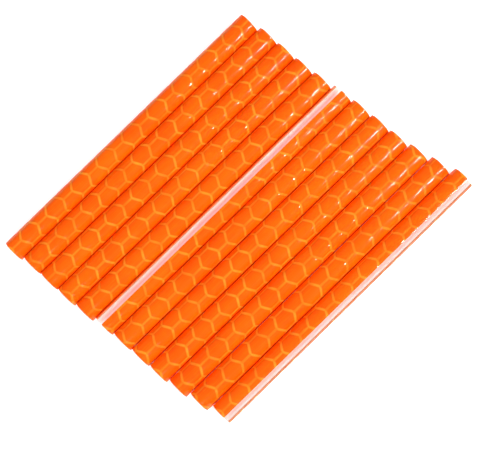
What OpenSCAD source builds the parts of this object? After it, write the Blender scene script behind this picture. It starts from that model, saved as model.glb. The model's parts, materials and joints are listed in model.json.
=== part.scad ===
// A set of clip-on spoke reflectors, lying side by side in a staggered row.
// Each reflector is a slit plastic tube that snaps over a wire spoke, wrapped in
// retroreflective film: an adhesive, a backing sheet and a clear orange face sheet.
// +X runs along the reflectors, Y across the row and +Z up. The origin is at the
// middle of the row, on the surface that it lies on.

/* [Row] */
// Number of reflectors in the row
reflector_count = 12; // [2:1:12]
// Gap between neighbours
row_gap = 0.02; // [0.02:0.01:1]
// How far each reflector is pushed along past the first one
lay = [0, 0.9, 1.25, 1.65, 2.25, 3.3, 3.9, 4.4, 4.85, 5.75, 7.05, 8.75]; // each from -20 to 20
// How far each reflector is turned about its own axis, with the slit straight up at 0
turn = [150, 205, 140, 210, 150, -27, 145, 215, 205, 140, 210, 50]; // each from -180 to 360

/* [Core] */
// Length of a core
core_length = 75; // [30:1:150]
// Outer diameter of a core
core_diameter = 4.5; // [3.6:0.1:8]
// Diameter of the wire spoke that a core snaps over
spoke_diameter = 2; // [1.6:0.05:2.4]
// Radial clearance between the bore and the spoke
spoke_clearance = 0.1; // [0:0.05:0.2]
// How much narrower the slit is than the spoke
snap_bite = 0.5; // [0.2:0.05:0.8]
// How far each lip of the slit flares out
lip_flare = 0.2; // [0.1:0.05:0.3]
// Depth of the flared lips
lip_depth = 0.4; // [0.2:0.05:0.6]

/* [Film] */
// Thickness of the adhesive layer
adhesive_thickness = 0.05; // [0.03:0.01:0.2]
// Thickness of the backing sheet
backing_thickness = 0.15; // [0.1:0.01:0.4]
// Thickness of the face sheet
face_thickness = 0.24; // [0.1:0.01:0.5]
// How far the film's long cut edges stay back from the lips
film_margin = 0.1; // [0:0.05:0.4]
// How far the film's ends stay back from the core's ends
film_setback = 0.2; // [0:0.05:1]

/* [Hidden] */
$fn = 96;
core_r = core_diameter / 2;
bore_r = spoke_diameter / 2 + spoke_clearance;
slit_throat = spoke_diameter - snap_bite;
slit_mouth = slit_throat + 2 * lip_flare;
mouth_height = sqrt(core_r * core_r - slit_mouth * slit_mouth / 4);
throat_height = mouth_height - lip_depth;
crown_width = slit_throat + 2 * lip_flare * (core_r - throat_height) / lip_depth;

adhesive_r = core_r + adhesive_thickness;
backing_r = adhesive_r + backing_thickness;
face_r = backing_r + face_thickness;
film_length = core_length - 2 * film_setback;
film_opening = slit_mouth + 2 * film_margin;

row_pitch = 2 * face_r + row_gap;
used_lay = [for (i = [0 : reflector_count - 1]) lay[i]];
lay_middle = (min(used_lay) + max(used_lay)) / 2;

PIECES = ["core", "adhesive", "backing_film", "face_film"];

// A piece's node name: its kind and the reflector's two-figure number, counted from 01
function node_name(piece, i) = str(piece, i < 9 ? "_0" : "_", i + 1);

// Carries a piece from the X axis to its reflector's place in the row
module placed(i) {
    row_y = ((reflector_count - 1) / 2 - i) * row_pitch;
    translate([lay[i] - lay_middle, row_y, face_r])
        rotate([turn[i], 0, 0])
            children();
}

// Extrudes a section along X, centred, with the section's y axis upwards
module bar(length) {
    translate([-length / 2, 0, 0])
        rotate([90, 0, 90])
            linear_extrude(length)
                children();
}

// A ring with a parallel-sided opening at the top
module open_ring(outer_r, inner_r, opening) {
    difference() {
        circle(r = outer_r);
        circle(r = inner_r);
        translate([-opening / 2, 0])
            square([opening, outer_r]);
    }
}

// The slit tube: a bore for the spoke, a snap-in throat and flared lips
module core() {
    color([0.97, 0.9, 0.88])
        bar(core_length)
            difference() {
                open_ring(core_r, bore_r, slit_throat);
                polygon([
                    [-slit_throat / 2, throat_height],
                    [slit_throat / 2, throat_height],
                    [crown_width / 2, core_r],
                    [-crown_width / 2, core_r],
                ]);
            }
}

// The glue layer, from the core's skin to the backing sheet
module adhesive() {
    color([0.93, 0.87, 0.76])
        bar(film_length)
            open_ring(adhesive_r, core_r, film_opening);
}

// The backing sheet of the reflective film
module backing_film() {
    color([0.95, 0.62, 0.4])
        bar(film_length)
            open_ring(backing_r, adhesive_r, film_opening);
}

// The clear orange face sheet of the reflective film
module face_film() {
    color([1, 0.42, 0.05])
        bar(film_length)
            open_ring(face_r, backing_r, film_opening);
}

for (i = [0 : reflector_count - 1]) {
    placed(i) core();
    placed(i) adhesive();
    placed(i) backing_film();
    placed(i) face_film();
}
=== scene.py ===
"""A set of clip-on spoke reflectors, lying side by side on a pale table.

Each reflector is a slit white core that snaps over a spoke, wrapped in reflective film: glue, a
backing sheet and a clear orange face sheet, which is pressed and welded to the backing along a
honeycomb of lines. The core and the face sheet are modelled here, flat or as a section first, and
then bent and turned to their places. Lengths are in metres.
"""

import json
import math

import bpy
from mathutils import Matrix, Vector


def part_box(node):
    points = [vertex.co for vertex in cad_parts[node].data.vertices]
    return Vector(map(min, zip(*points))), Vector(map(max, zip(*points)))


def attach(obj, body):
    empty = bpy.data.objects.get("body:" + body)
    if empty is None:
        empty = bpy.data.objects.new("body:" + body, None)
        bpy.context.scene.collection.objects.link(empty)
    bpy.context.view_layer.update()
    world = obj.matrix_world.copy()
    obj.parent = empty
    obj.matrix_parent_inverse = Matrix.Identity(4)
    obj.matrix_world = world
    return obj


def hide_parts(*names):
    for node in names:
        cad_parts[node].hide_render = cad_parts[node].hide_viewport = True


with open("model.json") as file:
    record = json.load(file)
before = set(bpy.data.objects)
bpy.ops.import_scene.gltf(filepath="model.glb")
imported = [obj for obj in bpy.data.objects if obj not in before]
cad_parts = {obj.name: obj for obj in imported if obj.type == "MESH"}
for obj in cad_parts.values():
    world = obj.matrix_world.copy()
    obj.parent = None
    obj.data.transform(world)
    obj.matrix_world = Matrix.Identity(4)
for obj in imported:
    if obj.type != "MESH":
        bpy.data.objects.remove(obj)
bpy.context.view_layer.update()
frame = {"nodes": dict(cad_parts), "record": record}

MM = 0.001
TINY = 0.001 * MM
CUT_PRECISION = TINY / 10

# The honeycomb of the face sheet
CELL_SIDE = 2.66 * MM
CELL_HEIGHT = math.sqrt(3) * CELL_SIDE
CELL_PITCH = 3 * CELL_SIDE
STRIPS_PER_CELL = 18
WELD_HALF_WIDTH = 0.17 * MM
# Each step inwards from the middle of a weld line: how wide it is, and how far it rises
CELL_STEPS = [
    (WELD_HALF_WIDTH, 0),
    (0.2 * MM, 0.018 * MM),
    (0.25 * MM, 0.012 * MM),
    (0.5 * MM, 0.01 * MM),
]
CELL_RISE = sum(rise for width, rise in CELL_STEPS)
# Over what width the look of a lengthwise weld line turns into a slanting one's where they meet
SLANT_FADE = 4 * WELD_HALF_WIDTH
# How far a hexagon is turned so that two of its corners lie along X
CORNERS_ALONG_X = math.radians(30)

# Where the honeycomb lies on each reflector: how far the middle of a lengthwise weld line is from
# the film's left end, in millimetres, how far round from the top towards -Y, in degrees, and how
# long the cells are there compared with CELL_PITCH
HONEYCOMB_PLACES = [
    (5.75, 51, 1.0), (7.35, -9, 0.992), (1.25, 2, 0.993), (2.75, 15, 0.98),
    (0.85, 32, 0.978), (2.25, 51, 0.993), (7.1, 20, 0.986), (3.05, 17, 0.991),
    (2.15, 7, 0.98), (0.5, 4, 0.992), (6.15, 17, 1.0), (2.05, -1, 0.987),
]

# The section of the core and of the film round it
SLIT_THROAT = 1.5 * MM
SLIT_MOUTH = 1.9 * MM
LIP_DEPTH = 0.4 * MM
FILM_OPENING = 2.1 * MM
CORE_FACETS = 128
EDGE_ROUND = 0.07 * MM
EDGE_SEGMENTS = 3

# The angles from which a corner of the section is kept, and an edge is rounded off or drawn sharp
FLAT_WITHIN = math.radians(0.5)
ROUND_OFF_FROM = math.radians(25)
CORE_SHARP_FROM = math.radians(30)
FILM_SHARP_FROM = math.radians(40)

# A face of the flat film is part of its rim where its normal rises less than this
RIM_RISE = 0.3
# A face of the core is part of the bore up to this many times the bore's radius, unless its normal
# lies along the core by this much or more
BORE_REACH = 1.02
END_FACING = 0.5

# How brightly the bore and the table shine by themselves
BORE_GLOW = 0.32
TABLE_GLOW = 0.3
# How far inside the row's ends the table's glow starts, and how far inside them it is full
GLOW_START_INSIDE = 4 * MM
GLOW_FULL_INSIDE = 2 * MM
TABLE_SIZE = 3

# The light: a white room, a large soft box high up to the left and another to the right, and a
# small one that gives the right-hand ends their gloss. Sizes are widths and depths.
ROOM_LIGHT = 0.25
SIDE_BOX_PLACE = (0.44, -0.17, 0.57)
SIDE_BOX_AIM = (0, 0, 0)
SIDE_BOX_SIZE = (1.1, 0.4)
SIDE_BOX_WATTS = 4.6
END_BOX_PLACE = (0.219, -0.63, 0.62)
END_BOX_AIM = (0.03, 0, 0)
END_BOX_SIZE = (0.167, 0.12)
END_BOX_WATTS = 4.2

# The camera: a long lens nearly straight above, with the row lying across the view at an angle. Its
# turns about X, Y and Z are in degrees.
LENS_MM = 101.3
SENSOR_MM = 36
NEAREST_SEEN = 0.01
CAMERA_PLACE = (-0.0088, -0.0587, 0.3051)
CAMERA_TURN = (10.14, -1.33, -44.29)

MOUNTS = {mount["name"]: mount for mount in frame["record"]["mounts"]}
NUMBERS = [name[-2:] for name in sorted(MOUNTS)]


def node_radius(node):
    """The outer radius of a round node that lies along X and is whole at its top and bottom."""
    low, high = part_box(node)
    return (high[2] - low[2]) / 2


def node_length(node):
    low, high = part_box(node)
    return high[0] - low[0]


CORE_R = node_radius("core_01")
BACKING_R = node_radius("backing_film_01")
FACE_R = node_radius("face_film_01")
BORE_R = MOUNTS["spoke_clip_01"]["dims"]["r_mm"] * MM
CORE_LENGTH = node_length("core_01")
FILM_LENGTH = node_length("face_film_01")


def axis_place(number):
    """The middle of a reflector's bore."""
    return MOUNTS["spoke_clip_" + number]["pos_m"]


def slit_turn(number):
    """How far a reflector's slit is turned from straight up towards -Y, in radians."""
    film = frame["nodes"]["face_film_" + number].data
    axis = axis_place(number)
    wall = sum((corner.co for corner in film.vertices), Vector()) / len(film.vertices)
    return math.atan2(wall.y - axis[1], axis[2] - wall.z)


# ---------------------------------------------------------------- modelling helpers


def clear_selection():
    if bpy.context.object and bpy.context.object.mode != "OBJECT":
        bpy.ops.object.mode_set(mode="OBJECT")
    bpy.ops.object.select_all(action="DESELECT")


def pick(piece):
    clear_selection()
    piece.select_set(True)
    bpy.context.view_layer.objects.active = piece


def edit(piece):
    """Opens a piece in edit mode with everything selected."""
    pick(piece)
    bpy.ops.object.mode_set(mode="EDIT")
    bpy.ops.mesh.select_mode(type="FACE")
    bpy.ops.mesh.select_all(action="SELECT")


def done():
    bpy.ops.object.mode_set(mode="OBJECT")


def select_faces(piece, wanted):
    """Selects the faces whose middle is wanted. The piece is in edit mode before and after."""
    bpy.ops.mesh.select_all(action="DESELECT")
    done()
    for face in piece.data.polygons:
        face.select = wanted(face.center)
    bpy.ops.object.mode_set(mode="EDIT")


def cut(place, normal, drop=False):
    """Cuts what is selected with a plane, and drops what lies in front of it if asked."""
    bpy.ops.mesh.bisect(plane_co=place, plane_no=normal, clear_outer=drop, threshold=CUT_PRECISION)


def add_modifier(piece, kind, **values):
    """Adds a modifier, sets its values and applies it."""
    pick(piece)
    modifier = piece.modifiers.new(kind.lower(), kind)
    for name, value in values.items():
        setattr(modifier, name, value)
    bpy.ops.object.modifier_apply(modifier=modifier.name)


def own_copy(piece, name):
    twin = bpy.data.objects.new(name, piece.data.copy())
    twin.data.name = name
    bpy.context.scene.collection.objects.link(twin)
    return twin


def settle(piece, matrix):
    """Carries a piece to its place and leaves the place in its mesh."""
    piece.matrix_world = matrix @ piece.matrix_world
    pick(piece)
    bpy.ops.object.transform_apply(location=True, rotation=True, scale=True)


def reflector_place(number):
    """From a reflector lying on the X axis with its slit straight up to its place in the row."""
    return Matrix.Translation(axis_place(number)) @ Matrix.Rotation(slit_turn(number), 4, "X")


# ---------------------------------------------------------------- the face sheet


def add_cell(place):
    """Adds a flat hexagon with two of its corners along X."""
    bpy.ops.mesh.primitive_circle_add(
        vertices=6, radius=CELL_SIDE, fill_type="NGON", location=place, rotation=(0, 0, CORNERS_ALONG_X),
    )


def honeycomb_sheet():
    """A flat sheet of pressed cells, larger than a film by a cell each way, top side up."""
    clear_selection()
    add_cell((0, 0, 0))
    sheet = bpy.context.object
    sheet.name = "honeycomb_sheet"
    bpy.ops.object.transform_apply(rotation=True)
    edit(sheet)
    add_cell((CELL_PITCH / 2, CELL_HEIGHT / 2, 0))
    bpy.ops.mesh.select_all(action="SELECT")
    for width, rise in CELL_STEPS:
        bpy.ops.mesh.inset(thickness=width, depth=rise, use_individual=True)
    strip = CELL_HEIGHT / STRIPS_PER_CELL
    for line in range(-STRIPS_PER_CELL // 2, STRIPS_PER_CELL):
        bpy.ops.mesh.select_all(action="SELECT")
        cut((0, (line + 0.5) * strip, 0), (0, 1, 0))
    done()
    cells_along = math.ceil(FILM_LENGTH / CELL_PITCH) + 1
    cells_round = math.ceil(2 * math.pi * FACE_R / CELL_HEIGHT) + 1
    for count, step in ((cells_along, (CELL_PITCH, 0, 0)), (cells_round, (0, CELL_HEIGHT, 0))):
        add_modifier(
            sheet, "ARRAY", count=count, use_relative_offset=False,
            use_constant_offset=True, constant_offset_displace=step,
        )
    edit(sheet)
    bpy.ops.mesh.remove_doubles(threshold=TINY)
    done()
    mark_welds(sheet)
    middle = (-(cells_along // 2) * CELL_PITCH, -(cells_round // 2) * CELL_HEIGHT, -CELL_RISE)
    settle(sheet, Matrix.Translation(middle))
    return sheet


def mark_welds(sheet):
    """Notes how deep each point lies in a weld line, and whether that line is a slanting one."""
    depth = sheet.data.attributes.new("weld_depth", "FLOAT", "POINT")
    slant = sheet.data.attributes.new("weld_slant", "FLOAT", "POINT")
    for corner in sheet.data.vertices:
        column = round(2 * corner.co.x / CELL_PITCH)
        lines = []
        for nearby in (column - 1, column, column + 1):
            row = round(corner.co.y / CELL_HEIGHT - nearby / 2) + nearby / 2
            along = abs(corner.co.x - nearby * CELL_PITCH / 2)
            across = abs(corner.co.y - row * CELL_HEIGHT)
            slanting = (math.sqrt(3) * along + across) / 2
            lines.append((max(across, slanting), slanting - across))
        lead = min(lines)[1]
        depth.data[corner.index].value = min(1, max(0, 1 - corner.co.z / CELL_RISE))
        slant.data[corner.index].value = min(1, max(0, 0.5 + lead / SLANT_FADE))


def nearest_shift(shift, pitch):
    """The same shift of a repeating pattern, less whole pitches, so that it is as short as it gets."""
    return shift - round(shift / pitch) * pitch


def face_sheet(sheet, number):
    """One reflector's face sheet: cut from the honeycomb, given its thickness and bent round."""
    piece = own_copy(sheet, "face_sheet_" + number)
    along, round_from_top, stretch = HONEYCOMB_PLACES[int(number) - 1]
    angle = math.remainder(slit_turn(number) + math.pi - math.radians(round_from_top), 2 * math.pi)
    shift = (
        nearest_shift(along * MM - FILM_LENGTH / 2, CELL_PITCH * stretch),
        nearest_shift(angle * FACE_R + CELL_HEIGHT / 2, CELL_HEIGHT),
        0,
    )
    settle(piece, Matrix.Translation(shift) @ Matrix.Diagonal((stretch, 1, 1, 1)))
    half_wrap = math.pi - math.asin(FILM_OPENING / 2 / FACE_R)
    half_width = half_wrap * FACE_R
    edit(piece)
    for normal, reach in (
        ((1, 0, 0), FILM_LENGTH / 2),
        ((-1, 0, 0), FILM_LENGTH / 2),
        ((0, 1, 0), half_width),
        ((0, -1, 0), half_width),
    ):
        bpy.ops.mesh.select_all(action="SELECT")
        cut([part * reach for part in normal], normal, drop=True)
    done()
    mark_surface(piece)
    thicken(piece, FACE_R - BACKING_R)
    for face in piece.data.polygons:
        face.material_index = 1 if abs(face.normal.z) < RIM_RISE else 0
    settle(piece, Matrix.Rotation(math.pi / 2, 4, "X"))
    add_modifier(piece, "SIMPLE_DEFORM", deform_method="BEND", deform_axis="X", angle=2 * half_wrap)
    settle(piece, Matrix.Rotation(math.pi / 2, 4, "X") @ Matrix.Translation((0, -FACE_R, 0)))
    settle(piece, reflector_place(number))
    pick(piece)
    bpy.ops.object.shade_smooth_by_angle(angle=FILM_SHARP_FROM)
    return piece


def thicken(piece, thickness):
    """Gives the flat sheet its thickness, with a plain underside where it is glued down."""
    edit(piece)
    bpy.ops.mesh.extrude_region_move(TRANSFORM_OT_translate={"value": (0, 0, -thickness)})
    bpy.ops.transform.resize(value=(1, 1, 0), center_override=(0, 0, -thickness))
    bpy.ops.mesh.select_all(action="SELECT")
    bpy.ops.mesh.normals_make_consistent(inside=False)
    done()


def mark_surface(piece):
    """While the film is flat, notes where on it each point lies."""
    mesh = piece.data
    while mesh.uv_layers:
        mesh.uv_layers.remove(mesh.uv_layers[0])
    flat = mesh.uv_layers.new(name="film_mm")
    for loop in mesh.loops:
        place = mesh.vertices[loop.vertex_index].co
        flat.data[loop.index].uv = (place.x / MM, place.y / MM)


# ---------------------------------------------------------------- the core


def core_section():
    """The slit ring, drawn in the XY plane with its slit towards +Y."""
    clear_selection()
    bpy.ops.mesh.primitive_circle_add(vertices=CORE_FACETS, radius=CORE_R, fill_type="NGON")
    section = bpy.context.object
    section.name = "core_master"
    edit(section)
    bpy.ops.mesh.inset(thickness=CORE_R - BORE_R)
    bpy.ops.mesh.delete(type="FACE")
    mouth_y = math.sqrt(CORE_R**2 - (SLIT_MOUTH / 2) ** 2)
    flare = (SLIT_MOUTH - SLIT_THROAT) / 2
    for side in (1, -1):
        select_faces(section, lambda middle: middle.y > 0)
        cut((side * SLIT_THROAT / 2, 0, 0), (side, 0, 0))
        select_faces(section, lambda middle: middle.y > mouth_y - LIP_DEPTH and middle.x * side > 0)
        cut((side * SLIT_MOUTH / 2, mouth_y, 0), (side * LIP_DEPTH, -flare, 0))
    select_faces(section, lambda middle: in_slit(middle, mouth_y, flare))
    bpy.ops.mesh.delete(type="FACE")
    done()
    return section


def in_slit(middle, mouth_y, flare):
    """Whether a face of the section, given by its middle, lies in the throat or between the lips."""
    above_throat = middle.y - (mouth_y - LIP_DEPTH)
    half_width = SLIT_THROAT / 2 + max(0, above_throat) * flare / LIP_DEPTH
    return middle.y > 0 and abs(middle.x) < half_width


def core_master():
    """The whole core on the X axis, slit up, with its cut edges and lips rounded off.

    Its bore's faces are marked as a second material's.
    """
    core = core_section()
    edit(core)
    bpy.ops.mesh.remove_doubles(threshold=TINY)
    bpy.ops.mesh.dissolve_limited(angle_limit=FLAT_WITHIN, delimit=set())
    bpy.ops.mesh.select_all(action="SELECT")
    bpy.ops.mesh.extrude_region_move(TRANSFORM_OT_translate={"value": (0, 0, CORE_LENGTH)})
    bpy.ops.mesh.select_all(action="SELECT")
    bpy.ops.mesh.normals_make_consistent(inside=False)
    done()
    stand_up = Matrix.Rotation(math.pi / 2, 4, "Z") @ Matrix.Rotation(math.pi / 2, 4, "X")
    settle(core, stand_up @ Matrix.Translation((0, 0, -CORE_LENGTH / 2)))
    add_modifier(
        core, "BEVEL", width=EDGE_ROUND, segments=EDGE_SEGMENTS, limit_method="ANGLE",
        angle_limit=ROUND_OFF_FROM, use_clamp_overlap=True,
    )
    for face in core.data.polygons:
        near_bore = math.hypot(face.center.y, face.center.z) < BORE_REACH * BORE_R
        face.material_index = 1 if near_bore and abs(face.normal.x) < END_FACING else 0
    pick(core)
    bpy.ops.object.shade_smooth_by_angle(angle=CORE_SHARP_FROM)
    return core


# ---------------------------------------------------------------- finishes


# Where a mix node keeps its two colours and their mixture
COLOUR_SLOTS = (6, 7)
COLOUR_RESULT = 2


class Finish:
    """A material made of nodes, with short calls for the nodes that it needs."""

    def __init__(self, name, **shader_values):
        self.material = bpy.data.materials.new(name)
        self.material.use_nodes = True
        self.tree = self.material.node_tree
        self.shader = self.tree.nodes["Principled BSDF"]
        for socket, value in shader_values.items():
            self.shader.inputs[socket.replace("_", " ")].default_value = value

    def node(self, kind, **values):
        node = self.tree.nodes.new("ShaderNode" + kind)
        for name, value in values.items():
            setattr(node, name, value)
        return node

    def link(self, output, node_input):
        self.tree.links.new(output, node_input)

    def feed(self, output, socket):
        """Leads a value or colour to the shader."""
        self.link(output, self.shader.inputs[socket])

    def place(self, stretch=(1, 1, 1), turn=0, uv=None):
        """Where on the piece: its own place in metres, or its flat map, stretched and turned."""
        source = self.node("UVMap", uv_map=uv) if uv else self.node("TexCoord")
        mapping = self.node("Mapping")
        mapping.inputs["Scale"].default_value = stretch
        mapping.inputs["Rotation"].default_value = (0, 0, turn)
        self.link(source.outputs["UV" if uv else "Object"], mapping.inputs["Vector"])
        return mapping.outputs["Vector"]

    def noise(self, place, scale, detail, roughness=0.5):
        noise = self.node("TexNoise")
        noise.inputs["Scale"].default_value = scale
        noise.inputs["Detail"].default_value = detail
        noise.inputs["Roughness"].default_value = roughness
        self.link(place, noise.inputs["Vector"])
        return noise.outputs["Fac"]

    def ridges(self, place, scale):
        """Straight ridges with flat flanks, one after another along X."""
        wave = self.node("TexWave", wave_type="BANDS", bands_direction="X", wave_profile="TRI")
        wave.inputs["Scale"].default_value = scale
        self.link(place, wave.inputs["Vector"])
        return wave.outputs["Fac"]

    def math(self, operation, first, second=0):
        """Works out a sum, each part of it a socket or a plain number."""
        node = self.node("Math", operation=operation)
        for slot, value in zip(node.inputs, (first, second)):
            if isinstance(value, (int, float)):
                slot.default_value = value
            else:
                self.link(value, slot)
        return node.outputs["Value"]

    def spread(self, value, low, high, to_low, to_high):
        """Maps a value's range onto another."""
        node = self.node("MapRange")
        self.link(value, node.inputs["Value"])
        ends = {"From Min": low, "From Max": high, "To Min": to_low, "To Max": to_high}
        for name, number in ends.items():
            node.inputs[name].default_value = number
        return node.outputs["Result"]

    def blend(self, share, first, second):
        """Mixes two colours, each a socket or a plain colour, by a share of the second."""
        node = self.node("Mix", data_type="RGBA")
        self.link(share, node.inputs["Factor"])
        for slot, colour in zip(COLOUR_SLOTS, (first, second)):
            if isinstance(colour, tuple):
                node.inputs[slot].default_value = (*colour, 1)
            else:
                self.link(colour, node.inputs[slot])
        return node.outputs[COLOUR_RESULT]

    def bump(self, height, distance, strength, under=None):
        node = self.node("Bump")
        node.inputs["Distance"].default_value = distance
        node.inputs["Strength"].default_value = strength
        self.link(height, node.inputs["Height"])
        if under:
            self.link(under, node.inputs["Normal"])
        return node.outputs["Normal"]


def orange_face_finish():
    """Clear orange sheet over fine prisms.

    It is darker round the sides of the cells, a painted shade where the pressed relief dips. Where
    it is welded down it is duller. The slanting lines are lighter than the lengthwise ones, a
    painted sheen of the side lights on their walls.
    """
    finish = Finish(
        "orange_prismatic_face", Coat_Weight=0.35, Coat_Roughness=0.05, Specular_IOR_Level=0.02,
        Subsurface_Weight=0.4, Subsurface_Scale=1.2 * MM, Subsurface_Radius=(1.0, 0.25, 0.05),
    )
    weld = finish.node("Attribute", attribute_name="weld_depth").outputs["Fac"]
    slant = finish.node("Attribute", attribute_name="weld_slant").outputs["Fac"]
    flat = finish.place(uv="film_mm")
    lattice = None
    for turn in (0, 60, 120):
        bands = finish.ridges(finish.place(uv="film_mm", turn=math.radians(turn)), 0.9)
        lattice = bands if lattice is None else finish.math("MINIMUM", lattice, bands)
    cloud = finish.noise(finish.place(), 90, 3)
    grain = finish.noise(flat, 6, 5, 0.6)
    streaks = finish.noise(finish.place(uv="film_mm", stretch=(0.12, 4, 1)), 1, 3)
    deep, plain = (1.0, 0.09, 0.001), (1.0, 0.126, 0.0015)
    streaky, between_prisms, cell_side_shade = (1.0, 0.15, 0.002), (0.95, 0.065, 0.0008), (0.72, 0.075, 0.0006)
    cell = finish.blend(finish.spread(cloud, 0.3, 0.7, 0, 1), deep, plain)
    cell = finish.blend(finish.spread(streaks, 0.5, 0.75, 0, 0.6), cell, streaky)
    cell = finish.blend(finish.spread(lattice, 0.0, 0.5, 0.25, 0), cell, between_prisms)
    # Painted shade: the cell is darkened beside the weld lines, where the pressed relief dips.
    cell = finish.blend(finish.spread(weld, 0.24, 0.58, 0, 0.5), cell, cell_side_shade)
    lengthwise = finish.blend(grain, (1.0, 0.094, 0.001), (1.0, 0.124, 0.0018))
    # Painted sheen: the slanting weld lines are coloured lighter than the lengthwise ones, as the side
    # lights would catch their sloped walls.
    slanting = finish.blend(grain, (1.0, 0.175, 0.005), (1.0, 0.3, 0.026))
    line = finish.blend(slant, lengthwise, slanting)
    line_share = finish.spread(weld, 0.5, 1.0, 0, 1)
    weld_hold = finish.spread(finish.noise(finish.place(), 240, 2), 0.38, 0.6, 0.6, 1)
    finish.feed(finish.blend(finish.math("MULTIPLY", line_share, weld_hold), cell, line), "Base Color")
    rough = finish.spread(grain, 0.3, 0.7, 0.3, 0.45)
    finish.feed(finish.math("ADD", rough, finish.math("MULTIPLY", line_share, 0.15)), "Roughness")
    prisms = finish.math("MULTIPLY", lattice, finish.math("SUBTRACT", 1, line_share))
    relief = finish.bump(prisms, 0.02 * MM, 0.5)
    finish.feed(finish.bump(grain, 0.008 * MM, 0.6, relief), "Normal")
    return finish.material


def film_rim_finish():
    """The cut rim of the face sheet, where dust sticks to the knife marks."""
    finish = Finish("dusty_film_rim", Specular_IOR_Level=0.3)
    marks = finish.noise(finish.place(stretch=(900, 5000, 5000)), 1, 4)
    cloud = finish.noise(finish.place(), 500, 3)
    # Painted shade: the rim is tinted dark brown, darker than the orange sheet, as the cut edge lies in
    # shade; the lighter dust in the knife marks is real dirt.
    rim_shade, deeper_rim_shade, dust = (0.5, 0.17, 0.06), (0.36, 0.13, 0.06), (0.6, 0.36, 0.22)
    tint = finish.blend(finish.spread(cloud, 0.3, 0.7, 0, 1), rim_shade, deeper_rim_shade)
    finish.feed(finish.blend(finish.spread(marks, 0.4, 0.7, 0, 0.5), tint, dust), "Base Color")
    finish.feed(finish.spread(marks, 0.3, 0.7, 0.45, 0.7), "Roughness")
    finish.feed(finish.bump(marks, 0.02 * MM, 0.6), "Normal")
    return finish.material


def core_plastic_finish(name, glow=0):
    """Extruded white plastic with fine lines along it.

    Its pink tint is painted light, the film's orange bounced onto the white plastic. A glow stands
    for light that comes through a thin wall, as it does into the bore.
    """
    finish = Finish(
        name, Subsurface_Weight=0.85, Subsurface_Scale=2.5 * MM, Subsurface_Radius=(1.0, 0.7, 0.6),
        Specular_IOR_Level=0.35, Emission_Color=(1.0, 0.42, 0.45, 1), Emission_Strength=glow,
    )
    lines = finish.noise(finish.place(stretch=(40, 9000, 9000)), 1, 3)
    cloud = finish.noise(finish.place(), 120, 4)
    # Painted bounce light: the white plastic is tinted pink as if lit by the orange film round it.
    rosy_bounce, pale, groove = (0.96, 0.66, 0.61), (0.97, 0.72, 0.67), (0.95, 0.6, 0.55)
    tint = finish.blend(finish.spread(cloud, 0.3, 0.7, 0, 1), rosy_bounce, pale)
    finish.feed(finish.blend(finish.spread(lines, 0.35, 0.65, 0, 0.3), tint, groove), "Base Color")
    finish.feed(finish.spread(lines, 0.3, 0.7, 0.35, 0.55), "Roughness")
    finish.feed(finish.bump(lines, 0.02 * MM, 0.5), "Normal")
    return finish.material


def backing_sheet_finish():
    """The cut edge of the backing sheet: pale orange with darker fibres."""
    finish = Finish("backing_sheet_edge", Specular_IOR_Level=0.4)
    fibres = finish.noise(finish.place(stretch=(300, 4000, 4000)), 1, 4)
    cloud = finish.noise(finish.place(), 400, 3)
    orange, pale, fibre = (0.8, 0.3, 0.12), (0.88, 0.42, 0.22), (0.62, 0.2, 0.08)
    tint = finish.blend(cloud, orange, pale)
    finish.feed(finish.blend(finish.spread(fibres, 0.35, 0.65, 0, 0.5), tint, fibre), "Base Color")
    finish.feed(finish.spread(cloud, 0.3, 0.7, 0.5, 0.7), "Roughness")
    finish.feed(finish.bump(fibres, 0.02 * MM, 0.6), "Normal")
    return finish.material


def glue_finish():
    """Yellowed glue with some dust in it."""
    finish = Finish(
        "yellowed_glue", Specular_IOR_Level=0.5, Subsurface_Weight=0.2, Subsurface_Scale=0.2 * MM,
    )
    dust = finish.noise(finish.place(), 2500, 3)
    clean, dusty = (0.75, 0.6, 0.42), (0.5, 0.38, 0.26)
    finish.feed(finish.blend(finish.spread(dust, 0.45, 0.75, 0, 1), clean, dusty), "Base Color")
    finish.feed(finish.spread(dust, 0.3, 0.7, 0.25, 0.6), "Roughness")
    finish.feed(finish.bump(dust, 0.01 * MM, 0.5), "Normal")
    return finish.material


def table_finish():
    """A plain white table top that glows a little all round the row, but not under it."""
    finish = Finish("white_table_top", Roughness=0.6, Specular_IOR_Level=0.2, Emission_Color=(1, 1, 1, 1))
    cloud = finish.noise(finish.place(), 14, 3)
    finish.feed(finish.blend(cloud, (0.93, 0.93, 0.935), (0.95, 0.95, 0.955)), "Base Color")
    first = axis_place(NUMBERS[0])
    last = axis_place(NUMBERS[-1])
    slant = (last[0] - first[0]) / (first[1] - last[1])
    place = finish.node("SeparateXYZ")
    finish.link(finish.place(), place.inputs["Vector"])
    along = finish.math("ADD", place.outputs["X"], finish.math("MULTIPLY", place.outputs["Y"], slant))
    glow_start = CORE_LENGTH / 2 - GLOW_START_INSIDE
    glow_full = CORE_LENGTH / 2 - GLOW_FULL_INSIDE
    past_ends = finish.spread(finish.math("ABSOLUTE", along), glow_start, glow_full, 0, TABLE_GLOW)
    past_sides = finish.spread(
        finish.math("ABSOLUTE", place.outputs["Y"]), first[1], first[1] + FACE_R / 2, 0, TABLE_GLOW,
    )
    finish.feed(finish.math("MAXIMUM", past_ends, past_sides), "Emission Strength")
    return finish.material


def dress(piece, *materials):
    """Gives a piece its materials, in the order that its faces are numbered by."""
    numbers = [face.material_index for face in piece.data.polygons]
    piece.data.materials.clear()
    for material in materials:
        piece.data.materials.append(material)
    for face, number in zip(piece.data.polygons, numbers):
        face.material_index = number


# ---------------------------------------------------------------- the reflectors


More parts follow.
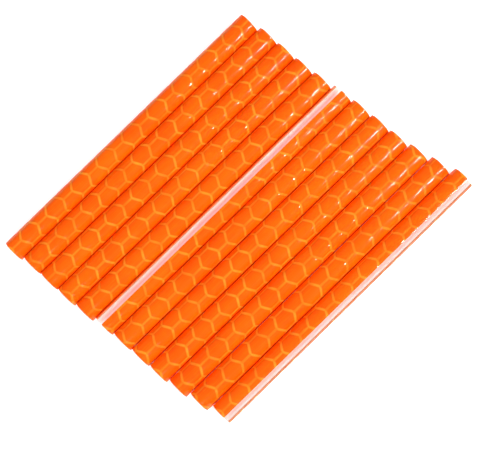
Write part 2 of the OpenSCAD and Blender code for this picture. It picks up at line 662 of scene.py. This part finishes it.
def build_reflectors():
    """Makes each reflector's face sheet and core, and gives its CAD nodes that show their finishes."""
    face_finish = orange_face_finish()
    rim_finish = film_rim_finish()
    core_finish = core_plastic_finish("white_core_plastic")
    bore_finish = core_plastic_finish("lit_bore_plastic", BORE_GLOW)
    backing_finish = backing_sheet_finish()
    glue = glue_finish()
    sheet = honeycomb_sheet()
    core = core_master()
    for number in NUMBERS:
        body = "reflector_" + number
        film = face_sheet(sheet, number)
        dress(film, face_finish, rim_finish)
        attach(film, body)
        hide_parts("face_film_" + number)
        clip = own_copy(core, "clip_core_" + number)
        settle(clip, reflector_place(number))
        dress(clip, core_finish, bore_finish)
        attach(clip, body)
        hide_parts("core_" + number)
        for node, finish in (("backing_film_", backing_finish), ("adhesive_", glue)):
            for slot in frame["nodes"][node + number].material_slots:
                slot.material = finish
    for master in (sheet, core):
        bpy.data.objects.remove(master, do_unlink=True)


# ---------------------------------------------------------------- table, light and camera


def lay_table():
    clear_selection()
    bpy.ops.mesh.primitive_plane_add(size=TABLE_SIZE)
    table = bpy.context.object
    table.name = "table_top"
    dress(table, table_finish())


def soft_box(name, place, aim, size, watts):
    """A rectangular soft light that faces a point."""
    light = bpy.data.lights.new(name, "AREA")
    light.shape = "RECTANGLE"
    light.size, light.size_y = size
    light.energy = watts
    lamp = bpy.data.objects.new(name, light)
    lamp.location = place
    lamp.rotation_euler = (Vector(aim) - Vector(place)).to_track_quat("-Z", "Y").to_euler()
    bpy.context.scene.collection.objects.link(lamp)


def light_table():
    world = bpy.data.worlds.new("white_room")
    bpy.context.scene.world = world
    world.use_nodes = True
    background = world.node_tree.nodes["Background"]
    background.inputs["Color"].default_value = (1, 1, 1, 1)
    background.inputs["Strength"].default_value = ROOM_LIGHT
    x, y, z = SIDE_BOX_PLACE
    soft_box("left_box", (-x, y, z), SIDE_BOX_AIM, SIDE_BOX_SIZE, SIDE_BOX_WATTS)
    soft_box("right_box", (x, y, z), SIDE_BOX_AIM, SIDE_BOX_SIZE, SIDE_BOX_WATTS)
    soft_box("end_box", END_BOX_PLACE, END_BOX_AIM, END_BOX_SIZE, END_BOX_WATTS)
    bpy.context.scene.view_settings.view_transform = "Standard"


def place_camera():
    camera = bpy.data.objects.new("camera", bpy.data.cameras.new("camera"))
    bpy.context.scene.collection.objects.link(camera)
    camera.data.lens = LENS_MM
    camera.data.sensor_width = SENSOR_MM
    camera.data.clip_start = NEAREST_SEEN
    camera.location = CAMERA_PLACE
    camera.rotation_mode = "ZYX"
    camera.rotation_euler = [math.radians(degrees) for degrees in CAMERA_TURN]
    bpy.context.scene.camera = camera


build_reflectors()
lay_table()
light_table()
place_camera()
